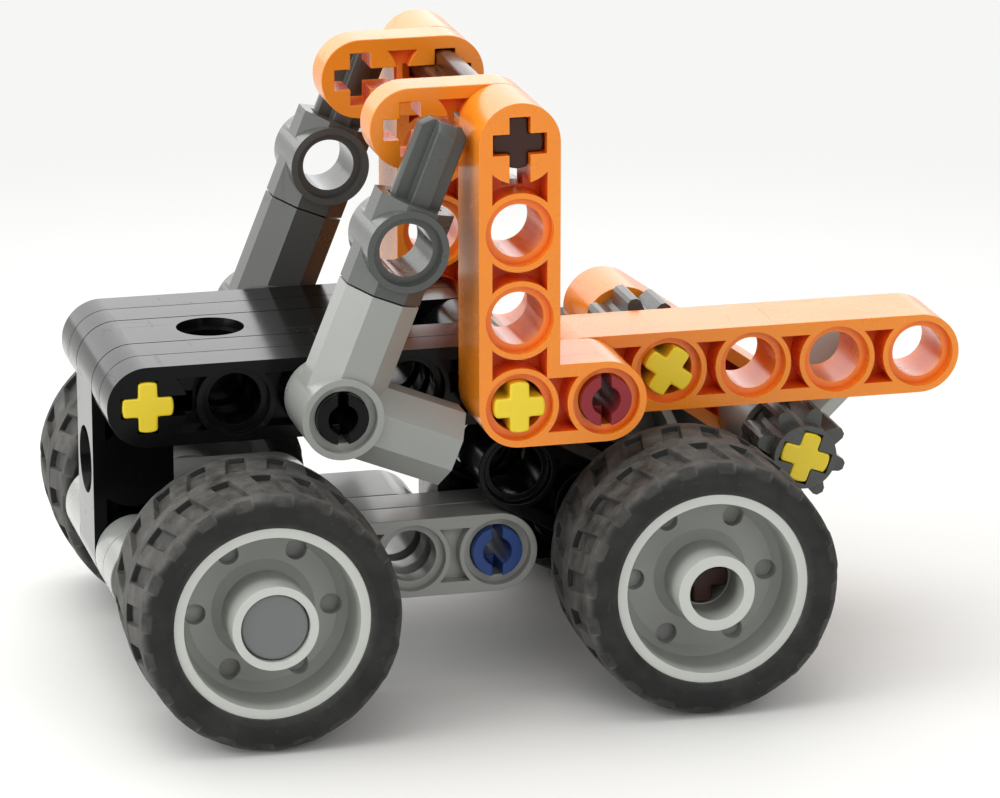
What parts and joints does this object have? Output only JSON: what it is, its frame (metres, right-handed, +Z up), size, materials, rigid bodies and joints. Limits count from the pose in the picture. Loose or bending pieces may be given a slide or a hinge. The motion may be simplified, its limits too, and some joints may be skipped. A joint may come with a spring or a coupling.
{
  "type": "toy construction truck",
  "caption": "Beam-and-pin construction toy tow truck with spinning wheels, lifting boom, geared hoist arm and swinging side cages.",
  "frame": {"origin": "centre of the bounding box in plan, on the ground plane under the tyres", "axes": "+X towards the rear of the truck, +Y to its right side, +Z up"},
  "size_m": [0.0797, 0.0562, 0.0557],
  "materials": {
    "orange": "glossy moulded",
    "black": "glossy moulded",
    "yellow": "glossy moulded",
    "light_grey": "satin moulded",
    "dark_grey": "satin moulded",
    "blue": "satin moulded",
    "dark_red": "satin moulded",
    "brown": "satin moulded",
    "tyre": "matte rubber"
  },
  "bodies": {
    "frame": {"left_post": "orange", "right_post": "orange", "left_roof_link": "orange", "right_roof_link": "orange", "roof_axle": "brown", "main_cross_axle": "yellow", "front_cross_axle": "yellow", "bonnet_plate_left_outer": "black", "bonnet_plate_left_inner": "black", "bonnet_plate_right_inner": "black", "bonnet_plate_right_outer": "black", "bonnet_spine": "black", "chassis_plate_outer": "light_grey", "chassis_plate_inner": "light_grey", "chassis_centre_beam": "light_grey", "chassis_right_beam": "light_grey", "rear_frame": "black", "rear_link_left": "black", "rear_link_right": "black", "front_foot_pin": "black", "chassis_rear_pin": "blue", "chassis_middle_pin": "black", "boom_pin": "dark_red", "left_elbow_pin": "black", "right_elbow_pin": "black"},
    "left_cage": {"left_elbow": "light_grey", "left_pillar_block": "dark_grey", "left_pillar_core": "dark_grey", "left_pillar_axle": "dark_grey"},
    "right_cage": {"right_elbow": "dark_grey", "right_pillar_block": "dark_grey", "right_pillar_core": "dark_grey", "right_pillar_axle": "dark_grey"},
    "boom": {"boom_beam": "orange"},
    "hoist": {"hoist_axle": "yellow", "hoist_gear": "dark_grey", "hoist_arm": "orange"},
    "tip": {"tip_axle": "yellow", "tip_gear": "dark_grey"},
    "tow": {"tow_connector": "light_grey"},
    "front_wheels": {"front_axle": "light_grey", "front_left_rim": "light_grey", "front_right_rim": "light_grey", "front_left_tyre": "tyre", "front_right_tyre": "tyre"},
    "rear_wheels": {"rear_axle": "brown", "rear_left_rim": "light_grey", "rear_right_rim": "light_grey", "rear_left_tyre": "tyre", "rear_right_tyre": "tyre"}
  },
  "joints": [
    {"name": "front_axle_spin", "type": "hinge", "parent": "frame", "child": "front_wheels", "pos_m": [-0.02785, 0, 0.012], "axis": [0, -1, 0], "continuous": true},
    {"name": "rear_axle_spin", "type": "hinge", "parent": "frame", "child": "rear_wheels", "pos_m": [0.01215, 0, 0.012], "axis": [0, -1, 0], "continuous": true},
    {"name": "boom_lift", "type": "hinge", "parent": "frame", "child": "boom", "pos_m": [0.00415, -0.008, 0.028], "axis": [0, -1, 0], "range_deg": [0, 70]},
    {"name": "hoist_turn", "type": "hinge", "parent": "boom", "child": "hoist", "pos_m": [0.01215, 0, 0.028], "axis": [0, -1, 0], "range_deg": [-20, 0]},
    {"name": "tip_spin", "type": "hinge", "parent": "hoist", "child": "tip", "pos_m": [0.02526, 0, 0.01882], "axis": [0, -1, 0], "continuous": true},
    {"name": "tow_swing", "type": "hinge", "parent": "hoist", "child": "tow", "pos_m": [0.02526, 0, 0.01882], "axis": [0, -1, 0], "range_deg": [-95, 40]},
    {"name": "left_cage_swing", "type": "hinge", "parent": "frame", "child": "left_cage", "pos_m": [-0.01985, -0.016, 0.028], "axis": [0, -1, 0], "range_deg": [0, 60]},
    {"name": "right_cage_swing", "type": "hinge", "parent": "frame", "child": "right_cage", "pos_m": [-0.01985, 0.016, 0.028], "axis": [0, -1, 0], "range_deg": [0, 60]}
  ]
}
